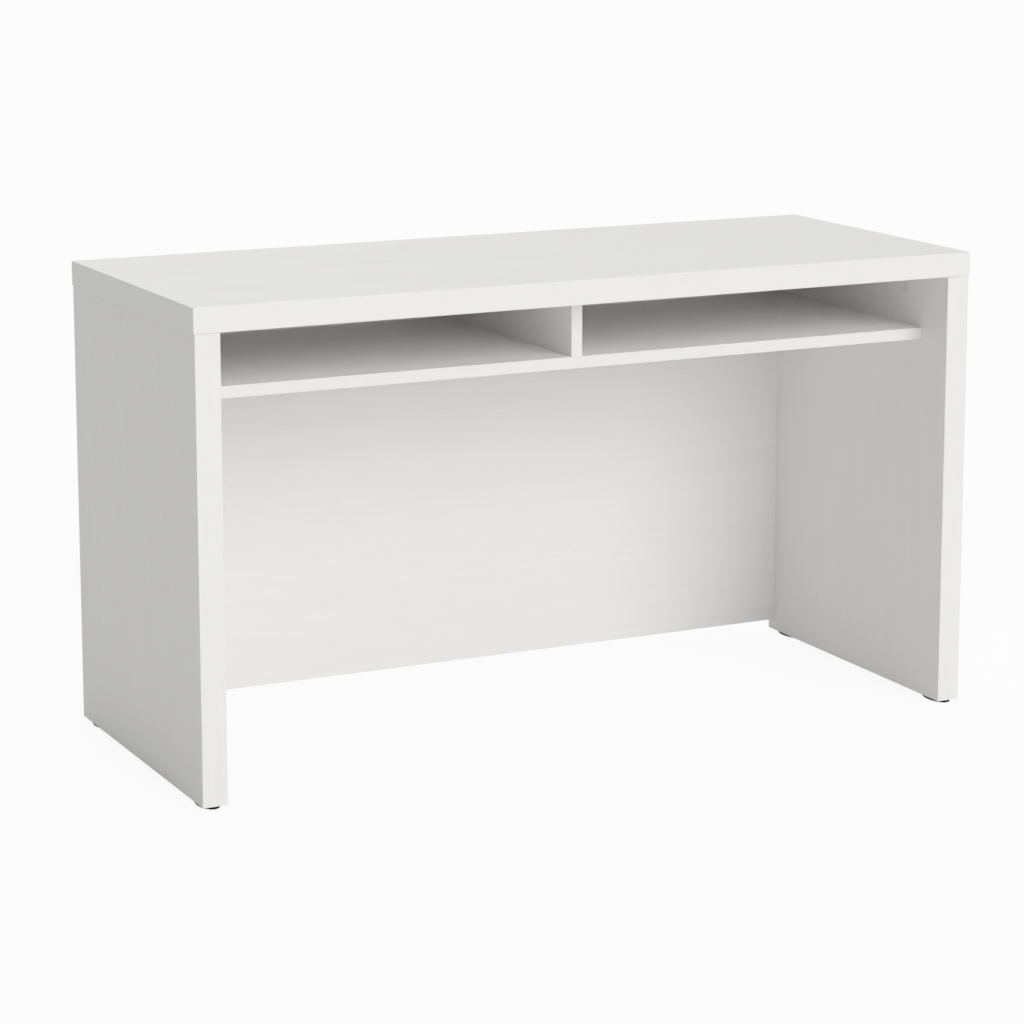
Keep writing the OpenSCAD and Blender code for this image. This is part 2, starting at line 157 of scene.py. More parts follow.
class NodeBench:
    """Lays out the nodes of one tree."""

    def __init__(self, tree: bpy.types.NodeTree) -> None:
        """Clears the tree and keeps it."""
        self.tree = tree
        self.tree.nodes.clear()

    def node(
        self,
        kind: str,
        settings: dict[str, Any] | None = None,
        inputs: dict[str | int, Any] | None = None,
    ) -> bpy.types.Node:
        """Adds one node.

        Args:
            kind: The node's type name.
            settings: Its properties, which are set before its sockets.
            inputs: The value or the link of each socket, by name or number.

        Returns:
            The new node.
        """
        made = self.tree.nodes.new(kind)
        for name, value in (settings or {}).items():
            setattr(made, name, value)
        for key, value in (inputs or {}).items():
            source = value.socket if isinstance(value, Signal) else value
            if isinstance(source, bpy.types.NodeSocket):
                self.tree.links.new(source, made.inputs[key])
            else:
                made.inputs[key].default_value = source
        return made


class MaterialShop(NodeBench):
    """Lays out the nodes of one material."""

    COLOUR_A, COLOUR_B, COLOUR_OUT = 6, 7, 2

    def __init__(self, name: str) -> None:
        """Starts an empty material.

        Args:
            name: The finish's name, in plain words.
        """
        self.material = bpy.data.materials.new(name)
        self.material.use_nodes = True
        super().__init__(self.material.node_tree)

    def math(self, operation: str, *values: Any) -> Signal:
        """Adds a Math node.

        Args:
            operation: The Math node's operation.
            values: Its signals or numbers, in order.

        Returns:
            The result.
        """
        made = self.node("ShaderNodeMath", {"operation": operation}, dict(enumerate(values)))
        return Signal(self, made.outputs[0])

    def place(self, grain: Grain = Grain.LENGTHWISE, offset: Triple = (0, 0, 0)) -> Any:
        """The point on the piece, in metres, with the grain turned onto X.

        Args:
            grain: Which way the grain runs on the piece.
            offset: Where this board was cut from the pattern.

        Returns:
            The vector socket.
        """
        point = self.node("ShaderNodeTexCoord").outputs["Object"]
        turned = self.node(
            "ShaderNodeMapping",
            inputs={"Vector": point, "Rotation": grain.value, "Location": offset},
        )
        return turned.outputs["Vector"]

    def noise(self, point: Any, per_metre: Triple, detail: float = 2, rough: float = 0.5) -> Signal:
        """Soft noise around one half.

        Args:
            point: The vector socket it is read at.
            per_metre: How many swings it makes in a metre along each axis.
            detail: How many finer layers it holds.
            rough: How strong the finer layers are.

        Returns:
            The noise.
        """
        stretched = self.node(
            "ShaderNodeVectorMath", {"operation": "MULTIPLY"}, {0: point, 1: per_metre}
        )
        made = self.node(
            "ShaderNodeTexNoise",
            {"noise_dimensions": "3D"},
            {
                "Vector": stretched.outputs[0],
                "Scale": 1.0,
                "Detail": detail,
                "Roughness": rough,
            },
        )
        return Signal(self, made.outputs[0])

    def shifted(self, point: Any, across: Signal) -> Any:
        """A point moved across the grain.

        Args:
            point: The vector socket that moves.
            across: How far it moves along Y and Z, in metres.

        Returns:
            The moved vector socket.
        """
        step = self.node("ShaderNodeCombineXYZ", inputs={1: across, 2: across})
        moved = self.node(
            "ShaderNodeVectorMath", {"operation": "ADD"}, {0: point, 1: step.outputs[0]}
        )
        return moved.outputs[0]

    def blend(self, first: Any, second: Any, share: Any) -> Any:
        """A colour between two others.

        Args:
            first: The colour, or its socket, at share 0.
            second: The colour, or its socket, at share 1.
            share: The signal or number between them.

        Returns:
            The colour socket.
        """
        ends = [c if isinstance(c, bpy.types.NodeSocket) else (*c, 1.0) for c in (first, second)]
        made = self.node(
            "ShaderNodeMix",
            {"data_type": "RGBA"},
            {0: share, self.COLOUR_A: ends[0], self.COLOUR_B: ends[1]},
        )
        return made.outputs[self.COLOUR_OUT]

    def surface(
        self,
        colour: Any,
        roughness: Any,
        height: Signal,
        depth: float,
        metallic: float = 0.0,
        specular: float = 0.5,
    ) -> bpy.types.Material:
        """Ends the material in its shader.

        Args:
            colour: The base colour's socket.
            roughness: The roughness signal.
            height: The relief, from 0 to 1.
            depth: How deep the relief is, in metres.
            metallic: 1 for bare metal, 0 for all else.
            specular: How much a plain surface reflects.

        Returns:
            The finished material.
        """
        relief = self.node("ShaderNodeBump", inputs={"Height": height, "Distance": depth})
        shader = self.node(
            "ShaderNodeBsdfPrincipled",
            inputs={
                "Base Color": colour,
                "Roughness": roughness,
                "Metallic": metallic,
                "Specular IOR Level": specular,
                "Normal": relief.outputs["Normal"],
            },
        )
        self.node("ShaderNodeOutputMaterial", inputs={"Surface": shader.outputs[0]})
        return self.material


@dataclass(frozen=True)
class WhiteGrain:
    """White-washed wood-grain laminate, on boards and on edge bands."""

    pale: Colour = (0.903, 0.896, 0.877)
    wash: Colour = (0.781, 0.772, 0.748)
    pore: Colour = (0.641, 0.629, 0.602)
    figure: float = 0.13
    fibre: float = 0.26
    pores: float = 0.22
    satin: float = 0.50
    shine: float = 0.40
    relief: float = 0.06 * MM
    drift_reach: float = 0.035
    ring_turns: float = 120
    drift_scale: Triple = (0.9, 7, 7)
    ring_scale: Triple = (0.55, 5.5, 5.5)
    sheet_scale: Triple = (2.4, 55, 55)
    fibre_scale: Triple = (9, 330, 330)
    pore_scale: Triple = (55, 1500, 1500)
    fade_scale: Triple = (1.4, 9, 9)

    def material(self, name: str, grain: Grain, offset: Triple) -> bpy.types.Material:
        """Makes the finish for one board.

        Args:
            name: The material's name.
            grain: Which way the grain runs.
            offset: Where this board was cut from the pattern.

        Returns:
            The material.
        """
        shop = MaterialShop(name)
        point = shop.place(grain, offset)
        drift = shop.noise(point, self.drift_scale, detail=1.5)
        wandering = shop.shifted(point, (drift - 0.5) * self.drift_reach)
        rise = shop.noise(wandering, self.ring_scale, detail=1)
        rings = (rise * self.ring_turns).wave() * 0.5 + 0.5
        sheets = shop.noise(wandering, self.sheet_scale, detail=3, rough=0.6)
        fibres = shop.noise(wandering, self.fibre_scale, detail=4, rough=0.62)
        dashes = shop.noise(point, self.pore_scale, detail=1).between(0.60, 0.70)
        fade = shop.noise(point, self.fade_scale, detail=1).between(0.38, 0.62)
        washed = (
            rings * fade * self.figure
            + sheets.between(0.30, 0.70) * self.figure
            + fibres.between(0.30, 0.70) * self.fibre
        )
        body = shop.blend(self.pale, self.wash, washed)
        colour = shop.blend(body, self.pore, dashes * (fade * 0.6 + 0.4) * self.pores)
        roughness = fibres * 0.10 + dashes * 0.12 + (self.satin - 0.05)
        height = fibres * 0.5 + (1 - dashes) * 0.5
        return shop.surface(colour, roughness, height, self.relief, specular=self.shine)


@dataclass(frozen=True)
class MouldedPlastic:
    """A moulded plastic with a fine spark-eroded texture."""

    colour: Colour
    worn: Colour
    satin: float
    shine: float = 0.5
    relief: float = 0.03 * MM

    def material(self, name: str) -> bpy.types.Material:
        """Makes the finish.

        Args:
            name: The material's name.

        Returns:
            The material.
        """
        shop = MaterialShop(name)
        point = shop.place()
        cloud = shop.noise(point, (60, 60, 60), detail=3)
        stipple = shop.noise(point, (2600, 2600, 2600), detail=2)
        colour = shop.blend(self.colour, self.worn, cloud.between(0.35, 0.75) * 0.6)
        roughness = stipple * 0.12 + self.satin
        return shop.surface(colour, roughness, stipple, self.relief, specular=self.shine)


@dataclass(frozen=True)
class PressedChips:
    """Raw particle board, as the frame members inside the hollow panels are."""

    pale: Colour = (0.62, 0.45, 0.26)
    dark: Colour = (0.36, 0.23, 0.11)
    relief: float = 0.3 * MM
    chips_per_metre: float = 260.0

    def material(self, name: str) -> bpy.types.Material:
        """Makes the finish, with flat chips in many tones."""
        shop = MaterialShop(name)
        point = shop.place()
        chips = shop.node(
            "ShaderNodeTexVoronoi",
            {"feature": "F1"},
            {"Vector": point, "Scale": self.chips_per_metre},
        )
        tone = shop.node("ShaderNodeSeparateColor", inputs={0: chips.outputs["Color"]})
        chip_tone = Signal(shop, tone.outputs[0])
        dust = shop.noise(point, (900, 900, 900), detail=2)
        colour = shop.blend(self.pale, self.dark, chip_tone * 0.6 + dust * 0.3)
        return shop.surface(colour, dust * 0.15 + 0.75, chip_tone, self.relief)


@dataclass(frozen=True)
class KraftPaper:
    """Brown paper, as the cell walls of the core are."""

    pale: Colour = (0.50, 0.35, 0.19)
    dark: Colour = (0.36, 0.24, 0.12)
    relief: float = 0.08 * MM

    def material(self, name: str) -> bpy.types.Material:
        """Makes the finish, with fine fibres pressed flat."""
        shop = MaterialShop(name)
        point = shop.place()
        fibres = shop.noise(point, (1400, 260, 260), detail=3)
        blotches = shop.noise(point, (40, 40, 40), detail=2)
        colour = shop.blend(self.pale, self.dark, fibres * 0.5 + blotches * 0.5)
        return shop.surface(colour, fibres * 0.1 + 0.8, fibres, self.relief)


@dataclass(frozen=True)
class PlatedMetal:
    """Die-cast zinc or plated steel, with faint tool marks."""

    bright: Colour
    dull: Colour
    rough: float
    relief: float = 0.02 * MM

    def material(self, name: str) -> bpy.types.Material:
        """Makes the finish.

        Args:
            name: The material's name.

        Returns:
            The material.
        """
        shop = MaterialShop(name)
        point = shop.place()
        bloom = shop.noise(point, (180, 180, 180), detail=3)
        marks = shop.noise(point, (900, 900, 4000), detail=2)
        colour = shop.blend(self.bright, self.dull, bloom.between(0.3, 0.7))
        return shop.surface(colour, bloom * 0.2 + self.rough, marks, self.relief, metallic=1.0)


@dataclass(frozen=True)
class TurnedBeech:
    """Pale beech, with the short flecks that it shows along the grain."""

    pale: Colour = (0.72, 0.50, 0.30)
    fleck: Colour = (0.52, 0.31, 0.16)
    relief: float = 0.04 * MM

    def material(self, name: str) -> bpy.types.Material:
        """Makes the finish."""
        shop = MaterialShop(name)
        point = shop.place()
        flecks = shop.noise(point, (300, 900, 900), detail=2).between(0.52, 0.66)
        tone = shop.noise(point, (30, 120, 120), detail=2)
        colour = shop.blend(self.pale, self.fleck, flecks * 0.5 + tone * 0.3)
        return shop.surface(colour, tone * 0.1 + 0.55, 1 - flecks, self.relief)


# ---- Modelling ----


def let_go() -> None:
    """Leaves edit mode and deselects everything."""
    if bpy.context.object and bpy.context.object.mode != "OBJECT":
        bpy.ops.object.mode_set(mode="OBJECT")
    bpy.ops.object.select_all(action="DESELECT")


def take(piece: Piece) -> None:
    """Makes a piece the only one that is selected, and the active one."""
    let_go()
    piece.select_set(True)
    bpy.context.view_layer.objects.active = piece


def settle(piece: Piece) -> Piece:
    """Puts a piece's place, turn and size into its mesh.

    Args:
        piece: The piece, wherever its object stands.

    Returns:
        The same piece, with its object at the origin.
    """
    take(piece)
    bpy.ops.object.transform_apply(location=True, rotation=True, scale=True)
    return piece


def block(name: str, low: Vector, high: Vector) -> Piece:
    """Starts a board between two corners.

    Args:
        name: The piece's name.
        low: Its lowest corner.
        high: Its highest corner.

    Returns:
        The plain board, ready to be shaped.
    """
    let_go()
    bpy.ops.mesh.primitive_cube_add(size=1, location=(low + high) / 2)
    piece = bpy.context.object
    piece.scale = high - low
    piece.name = piece.data.name = name
    return settle(piece)


def disc(name: str, radius: float, depth: float, sides: int = 48) -> Piece:
    """Starts a round piece whose upper face is at the origin.

    Args:
        name: The piece's name.
        radius: Its radius.
        depth: How far it reaches below the origin.
        sides: How many sides stand for the circle.

    Returns:
        The plain disc, ready to be shaped.
    """
    let_go()
    bpy.ops.mesh.primitive_cylinder_add(
        vertices=sides, radius=radius, depth=depth, location=(0, 0, -depth / 2)
    )
    piece = bpy.context.object
    piece.name = piece.data.name = name
    return settle(piece)


def pick_edges(piece: Piece, wanted: Callable[[Vector, Vector], bool]) -> None:
    """Opens a piece in edit mode and selects the edges that are wanted.

    Args:
        piece: The piece.
        wanted: Says yes or no to an edge, from its two ends.
    """
    take(piece)
    bpy.ops.object.mode_set(mode="EDIT")
    bpy.ops.mesh.select_mode(type="EDGE")
    bpy.ops.mesh.select_all(action="DESELECT")
    shape = bmesh.from_edit_mesh(piece.data)
    for edge in shape.edges:
        if wanted(edge.verts[0].co, edge.verts[1].co):
            edge.select_set(True)
    bmesh.update_edit_mesh(piece.data)


def pick_faces(piece: Piece, wanted: Callable[[Vector, Vector], bool]) -> None:
    """Opens a piece in edit mode and selects the faces that are wanted.

    Args:
        piece: The piece.
        wanted: Says yes or no to a face, from its middle and its normal.
    """
    take(piece)
    bpy.ops.object.mode_set(mode="EDIT")
    bpy.ops.mesh.select_mode(type="FACE")
    bpy.ops.mesh.select_all(action="DESELECT")
    shape = bmesh.from_edit_mesh(piece.data)
    for face in shape.faces:
        if wanted(face.calc_center_median(), face.normal):
            face.select_set(True)
    bmesh.update_edit_mesh(piece.data)


def ease(
    piece: Piece, wanted: Callable[[Vector, Vector], bool], width: float, steps: int
) -> None:
    """Rounds or breaks the wanted edges of a piece.

    Args:
        piece: The piece.
        wanted: Says yes or no to an edge, from its two ends.
        width: How far the rounding reaches back from the edge.
        steps: How many flats stand for it; one makes a plain chamfer.
    """
    pick_edges(piece, wanted)
    bpy.ops.mesh.bevel(offset=width, offset_type="OFFSET", segments=steps, affect="EDGES")
    bpy.ops.object.mode_set(mode="OBJECT")


def apply(piece: Piece, kind: str, **settings: Any) -> None:
    """Adds a modifier to a piece and applies it.

    Args:
        piece: The piece.
        kind: The modifier's type.
        settings: The modifier's properties.
    """
    take(piece)
    modifier = piece.modifiers.new(kind.lower(), kind)
    for name, value in settings.items():
        setattr(modifier, name, value)
    bpy.ops.object.modifier_apply(modifier=modifier.name)


def join(pieces: list[Piece], name: str) -> Piece:
    """Joins pieces into one object, each still a closed shell of its own.

    Args:
        pieces: The pieces.
        name: The joined object's name.

    Returns:
        The joined object.
    """
    take(pieces[0])
    for piece in pieces[1:]:
        piece.select_set(True)
    if len(pieces) > 1:
        bpy.ops.object.join()
    joined = bpy.context.object
    joined.name = joined.data.name = name
    return joined


def copy_to(piece: Piece, spot: Matrix) -> Piece:
    """Copies a piece, with a mesh of its own, to another place.

    Args:
        piece: The piece that was modelled once.
        spot: The place and turn of the copy.

    Returns:
        The copy, with its place in its mesh.
    """
    take(piece)
    bpy.ops.object.duplicate(linked=False)
    made = bpy.context.object
    made.matrix_world = spot
    return settle(made)


def smooth(piece: Piece, sharp: float = math.radians(40)) -> None:
    """Shades a piece smooth over its rounded edges and flat elsewhere.

    Args:
        piece: The piece.
        sharp: The angle past which an edge stays sharp.
    """
    take(piece)
    bpy.ops.object.shade_smooth_by_angle(angle=sharp)
    apply(piece, "WEIGHTED_NORMAL", mode="FACE_AREA", weight=100, keep_sharp=True)


def edge_at(axis: int, place: float, slack: float = 2 * TOUCH) -> Callable[[Vector, Vector], bool]:
    """Says yes to the edges that lie in one plane.

    Args:
        axis: 0, 1 or 2 for a plane across X, Y or Z.
        place: Where the plane is.
        slack: How far off it an end may be.

    Returns:
        The test.
    """
    return lambda a, b: abs(a[axis] - place) < slack and abs(b[axis] - place) < slack


# ---- Fittings and their holes ----


@dataclass(frozen=True)
class Fitting:
    """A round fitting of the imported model, as its holes need it."""

    low: Vector
    high: Vector
    axis: int
    outward: int

    @property
    def radius(self) -> float:
        """Half its widest size across its axis."""
        across = (self.axis + 1) % 3
        return (self.high[across] - self.low[across]) / 2

    @property
    def length(self) -> float:
        """Its size along its axis."""
        return self.high[self.axis] - self.low[self.axis]

    def spot(self, inwards: float = 0.0) -> Matrix:
        """The place on its axis, with +Z looking out of it.

        Args:
            inwards: How far below its outward end the place is.

        Returns:
            The place and turn.
        """
        end = (self.low + self.high) / 2
        tip = self.high if self.outward > 0 else self.low
        end[self.axis] = tip[self.axis] - self.outward * inwards
        look = Vector((0, 0, 0))
        look[self.axis] = self.outward
        return Matrix.Translation(end) @ look.to_track_quat("Z", "Y").to_matrix().to_4x4()

    def meets(self, low: Vector, high: Vector) -> bool:
        """Whether it reaches into the box between two corners."""
        return all(self.low[i] < high[i] and self.high[i] > low[i] for i in range(3))


def fittings(node: str) -> list[Fitting]:
    """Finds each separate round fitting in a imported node.

    Args:
        node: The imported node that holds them.

    Returns:
        The fittings, in the order of their points.
    """
    shape = bmesh.new()
    shape.from_mesh(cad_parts[node].data)
    bmesh.ops.remove_doubles(shape, verts=shape.verts, dist=TOUCH)
    seen: set[int] = set()
    found = []
    for first in shape.verts:
        if first.index in seen:
            continue
        seen.add(first.index)
        queue, points = [first], []
        while queue:
            corner = queue.pop()
            points.append(corner.co.copy())
            for edge in corner.link_edges:
                other = edge.other_vert(corner)
                if other.index not in seen:
                    seen.add(other.index)
                    queue.append(other)
        found.append(fitting_of(points))
    shape.free()
    return found


def fitting_of(points: list[Vector]) -> Fitting:
    """Reads a round fitting's box, axis and outward end from its points.

    Args:
        points: The points of one fitting.

    Returns:
        The fitting.
    """
    low = Vector([min(p[i] for p in points) for i in range(3)])
    high = Vector([max(p[i] for p in points) for i in range(3)])
    size = high - low
    axis = min(range(3), key=lambda i: abs(size[(i + 1) % 3] - size[(i + 2) % 3]))
    middle = (low + high) / 2
    reach = RIM_SHARE * size[(axis + 1) % 3] / 2
    wide = []
    for p in points:
        away = p - middle
        away[axis] = 0
        if away.length > reach:
            wide.append(p[axis])
    lean = sum(wide) / len(wide) - middle[axis]
    return Fitting(low, high, axis, 1 if lean >= 0 else -1)


@dataclass(frozen=True)
class Pegs:
    """The two pegs by which each glide is pressed into its end panel."""

    radius: float = 4.0 * MM
    spacing: float = 25.0 * MM

    @property
    def pad_height(self) -> float:
        """The height of the pad below them, which the end panels stand on."""
        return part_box("left_bottom_band")[0].z

    def of_glide(self, low: Vector, high: Vector) -> list[Fitting]:
        """Finds the pegs of one glide.

        Args:
            low: The glide's lowest corner.
            high: Its highest corner.

        Returns:
            Its two pegs, from the top of its pad up.
        """
        middle = (low + high) / 2
        found = []
        for way in (-1, 1):
            y = middle.y + way * self.spacing / 2
            found.append(
                Fitting(
                    Vector((middle.x - self.radius, y - self.radius, self.pad_height)),
                    Vector((middle.x + self.radius, y + self.radius, high.z)),
                    axis=2,
                    outward=-1,
                )
            )
        return found


@dataclass
class Drilling:
    """The holes that the fittings need, cut out of the boards they meet."""

    slack: float = 0.1 * MM
    cap_slack: float = 0.15 * MM
    cap_depth: float = 1.2 * MM
    end_slack: float = 0.3 * MM
    mouth: float = 0.25 * MM
    overshoot: float = 1.0 * MM
    screw_shank: float = 3.5 * MM
    screw_head_l: float = 4.0 * MM
    pegs: Pegs = Pegs()
    caps: list[Fitting] = field(default_factory=list)
    rods: list[Fitting] = field(default_factory=list)
    screws: list[Fitting] = field(default_factory=list)

    def gather(self) -> None:
        """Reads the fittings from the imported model."""
        self.caps = fittings("cam_caps") + fittings("screw_caps")
        self.rods = fittings("cam_nuts") + fittings("cam_bolts") + fittings("dowels")
        for glide in GLIDES:
            self.rods += self.pegs.of_glide(*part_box(glide))
        self.screws = fittings("panel_screws")

    def straight_bit(self, spot: Matrix, radius: float, length: float) -> Piece:
        """A plain bit that goes down from its spot."""
        return copy_and_drop(disc("bit", radius, length), spot)

    def cap_bit(self, cap: Fitting) -> Piece:
        """A bit for a flush cap, whose mouth is broken by a small chamfer.

        Args:
            cap: The cap that the recess takes.

        Returns:
            The bit.
        """
        radius = cap.radius + self.cap_slack
        bit = disc("cap_bit", radius, self.cap_depth)
        pick_faces(bit, lambda middle, normal: normal.z > FACING)
        rise = self.mouth + self.overshoot
        wider = (radius + rise) / radius
        bpy.ops.mesh.extrude_region_move(TRANSFORM_OT_translate={"value": (0, 0, rise)})
        bpy.ops.transform.resize(value=(wider, wider, 1), center_override=(0, 0, 0))
        bpy.ops.object.mode_set(mode="OBJECT")
        return copy_and_drop(bit, cap.spot(self.mouth))

    def bits_for(self, low: Vector, high: Vector) -> list[Piece]:
        """Every bit that the board between two corners needs."""
        bits = [self.cap_bit(c) for c in self.caps if c.meets(low, high)]
        for rod in self.rods:
            if rod.meets(low, high):
                spot = rod.spot(-self.end_slack)
                length = rod.length + 2 * self.end_slack
                bits.append(self.straight_bit(spot, rod.radius + self.slack, length))
        for screw in self.screws:
            if screw.meets(low, high):
                spot = screw.spot(-self.end_slack)
                head = screw.radius + self.slack
                shank = self.screw_shank + self.slack
                reach = self.screw_head_l + self.end_slack
                bits.append(self.straight_bit(spot, head, reach))
                bits.append(self.straight_bit(spot, shank, screw.length + 2 * self.end_slack))
        return bits

    def drill(self, board: Piece, low: Vector, high: Vector) -> None:
        """Cuts a board's holes.

        Args:
            board: The board, with its edges already eased.
            low: Its lowest corner.
            high: Its highest corner.
        """
        bits = self.bits_for(low, high)
        if not bits:
            return
        bit = join(bits, "bits")
        apply(board, "BOOLEAN", operation="DIFFERENCE", solver="EXACT", object=bit, use_self=True)
        bpy.data.objects.remove(bit)


def copy_and_drop(piece: Piece, spot: Matrix) -> Piece:
    """Moves a piece that was made at the origin to its place."""
    piece.matrix_world = spot
    return settle(piece)


# ---- Boards and bands ----


@dataclass
class Joinery:
    """What every sub-assembly shares: its finishes, its drilling and its edges."""

    drilling: Drilling
    laminate: WhiteGrain = WhiteGrain()
    banding: WhiteGrain = WhiteGrain(figure=0.09, fibre=0.22, pores=0.18)
    band_round: float = 0.8 * MM
    band_steps: int = 4
    seam: float = 0.15 * MM
    shadow_line: float = 0.4 * MM
    cut_step: Triple = (1.37, 0.71, 0.43)
    cut_boards: int = 0

    def offset(self) -> Triple:
        """Where the next board is cut from the pattern."""
        self.cut_boards += 1
        along, across, deep = (step * self.cut_boards for step in self.cut_step)
        return (along, across, deep)

    def finish(self, piece: Piece, node: str, slot: str, material: bpy.types.Material) -> Piece:
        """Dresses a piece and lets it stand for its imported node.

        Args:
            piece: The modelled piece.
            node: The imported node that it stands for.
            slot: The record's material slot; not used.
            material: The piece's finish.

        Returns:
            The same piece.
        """
        smooth(piece)
        piece.data.materials.clear()
        piece.data.materials.append(material)
        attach(piece, BODY)
        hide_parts(node)
        log.info("%s: %d faces", piece.name, len(piece.data.polygons))
        return piece

    def room_for(self, node: str, below_top: bool) -> tuple[Vector, Vector]:
        """The corners between which a board or band is modelled.

        Args:
            node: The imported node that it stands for.
            below_top: Whether it stops just short of the top, as a shadow line.

        Returns:
            Its lowest and highest corners.
        """
        low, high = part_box(node)
        if below_top:
            high = high - Vector((0, 0, self.shadow_line))
        return low, high

    def board(self, node: str, slot: str, grain: Grain, below_top: bool = False) -> Piece:
        """Makes a laminated board or skin, with broken edges and its holes.

        Args:
            node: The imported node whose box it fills.
            slot: The record's material slot.
            grain: Which way its grain runs.
            below_top: Whether it stops just short of the top.

        Returns:
            The finished board.
        """
        low, high = self.room_for(node, below_top)
        piece = block(f"finished_{node}", low, high)
        ease(piece, lambda a, b: True, self.seam, 1)
        self.drilling.drill(piece, low, high)
        material = self.laminate.material(f"white grained laminate, {node}", grain, self.offset())
        return self.finish(piece, node, slot, material)

    def band(
        self,
        node: str,
        grain: Grain,
        axis: int,
        outward: int,
        edges: Rounded,
        below_top: bool = False,
    ) -> Piece:
        """Makes an edge band, rounded over along its outer face.

        Args:
            node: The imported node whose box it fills.
            grain: Which way its grain runs, which is along the band.
            axis: 0, 1 or 2 for a band whose outer face is across X, Y or Z.
            outward: The way that its outer face looks.
            edges: Whether its ends are rounded too, or butt against others.
            below_top: Whether it stops just short of the top.

        Returns:
            The finished band.
        """
        low, high = self.room_for(node, below_top)
        piece = block(f"finished_{node}", low, high)
        face = high[axis] if outward > 0 else low[axis]
        run = max(range(3), key=lambda i: high[i] - low[i])
        on_face = edge_at(axis, face)

        def wanted(a: Vector, b: Vector) -> bool:
            """Says yes to the outer edges, and to the short ones of a free end."""
            along = abs(a[run] - b[run]) > self.band_round
            if on_face(a, b):
                return along or edges is Rounded.ALL_ROUND
            return edges is Rounded.ALL_ROUND and abs(a[run] - b[run]) < self.seam and abs(
                a[axis] - b[axis]
            ) > self.seam

        ease(piece, wanted, self.band_round, self.band_steps)
        self.drilling.drill(piece, low, high)
        material = self.banding.material(f"white grained edging, {node}", grain, self.offset())
        return self.finish(piece, node, "edge_band", material)


# ---- Sub-assemblies ----


@dataclass
class Top:
    """The slab top: two skins and four edge bands round a hollow frame."""

    joinery: Joinery

    def build(self) -> list[Piece]:
        """Models and dresses the top.

        Returns:
            Its pieces.
        """
        make = self.joinery
        pieces = [
            make.board(f"top_{skin}_skin", "laminated_skin", Grain.LENGTHWISE)
            for skin in ("upper", "lower")
        ]
        for name, outward in (("front", -1), ("back", 1)):
            pieces.append(
                make.band(f"top_{name}_band", Grain.LENGTHWISE, 1, outward, Rounded.ALL_ROUND)
            )
        for side in Side:
            pieces.append(
                make.band(
                    f"top_{side.word}_band", Grain.CROSSWISE, 0, side.value, Rounded.LONG_EDGES
                )
            )
        return pieces


@dataclass
class EndPanel:
    """One end of the table: two skins and three edge bands round a hollow frame."""

    joinery: Joinery
    side: Side

    def build(self) -> list[Piece]:
        """Models and dresses the end panel.

        Returns:
            Its pieces.
        """
        make, word = self.joinery, self.side.word
        pieces = [
            make.board(f"{word}_{skin}_skin", "laminated_skin", Grain.UPRIGHT, below_top=True)
            for skin in ("outer", "inner")
        ]
        for name, outward in (("front", -1), ("back", 1)):
            node = f"{word}_{name}_band"
            pieces.append(
                make.band(node, Grain.UPRIGHT, 1, outward, Rounded.ALL_ROUND, below_top=True)
            )
        pieces.append(make.band(f"{word}_bottom_band", Grain.CROSSWISE, 2, -1, Rounded.LONG_EDGES))
        return pieces


@dataclass
class Carcass:
    """What joins the two ends: the back panel, the shelf and the divider."""

    joinery: Joinery

    def build(self) -> list[Piece]:
        """Models and dresses the three boards and their edge bands.

        Returns:
            Their pieces.
        """
        make = self.joinery
        return [
            make.board("back_panel", "laminated_board", Grain.LENGTHWISE),
            make.band("back_panel_band", Grain.LENGTHWISE, 2, -1, Rounded.LONG_EDGES),
            make.board("shelf", "laminated_board", Grain.LENGTHWISE),
            make.band("shelf_band", Grain.LENGTHWISE, 1, -1, Rounded.LONG_EDGES),
            make.board("divider", "laminated_board", Grain.CROSSWISE),
            make.band("divider_band", Grain.UPRIGHT, 1, -1, Rounded.LONG_EDGES),
        ]


@dataclass
class CoverCaps:
    """The flush caps over the cam nuts and over the panel screws."""

    joinery: Joinery
    thickness: float = 1.2 * MM
    rim: float = 0.25 * MM
    rim_steps: int = 2
    dish_rim: float = 1.1 * MM
    dish: float = 0.12 * MM
    stem: float = 3.0 * MM
    finish: MouldedPlastic = MouldedPlastic((0.80, 0.80, 0.785), (0.74, 0.735, 0.715), 0.42)

    def cap(self, sample: Fitting) -> Piece:
        """Models one cap: a disc with a softened rim, a shallow dish and a stem.

        Args:
            sample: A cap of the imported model, for its radius and stem.

        Returns:
            The cap, with its outer face at the origin.
        """
        radius = sample.radius
        piece = disc("cap", radius, self.thickness)
        pick_faces(piece, lambda middle, normal: normal.z > FACING)
        bpy.ops.mesh.inset(thickness=self.dish_rim)
        bpy.ops.transform.translate(value=(0, 0, -self.dish))
        pick_faces(piece, lambda middle, normal: normal.z < -FACING)
        bpy.ops.mesh.inset(thickness=radius - self.stem / 2)
        drop = sample.length - self.thickness
        bpy.ops.mesh.extrude_region_move(TRANSFORM_OT_translate={"value": (0, 0, -drop)})
        bpy.ops.object.mode_set(mode="OBJECT")

        def on_rim(a: Vector, b: Vector) -> bool:
            """Says yes to the outer rim's upper edges."""
            outmost = min(a.xy.length, b.xy.length) > RIM_SHARE * radius
            return outmost and min(a.z, b.z) > -TOUCH

        ease(piece, on_rim, self.rim, self.rim_steps)
        return piece

    def build(self) -> list[Piece]:
        """Models a cap of each kind and copies it to all its places.

        Returns:
            The two groups of caps.
        """
        material = self.finish.material("white cap plastic")
        groups = []
        for node in ("cam_caps", "screw_caps"):
            places = fittings(node)
            model = self.cap(places[0])
            copies = [copy_to(model, place.spot()) for place in places]
            bpy.data.objects.remove(model)
            group = join(copies, f"finished_{node}")
            groups.append(self.joinery.finish(group, node, "cap_plastic", material))
        return groups


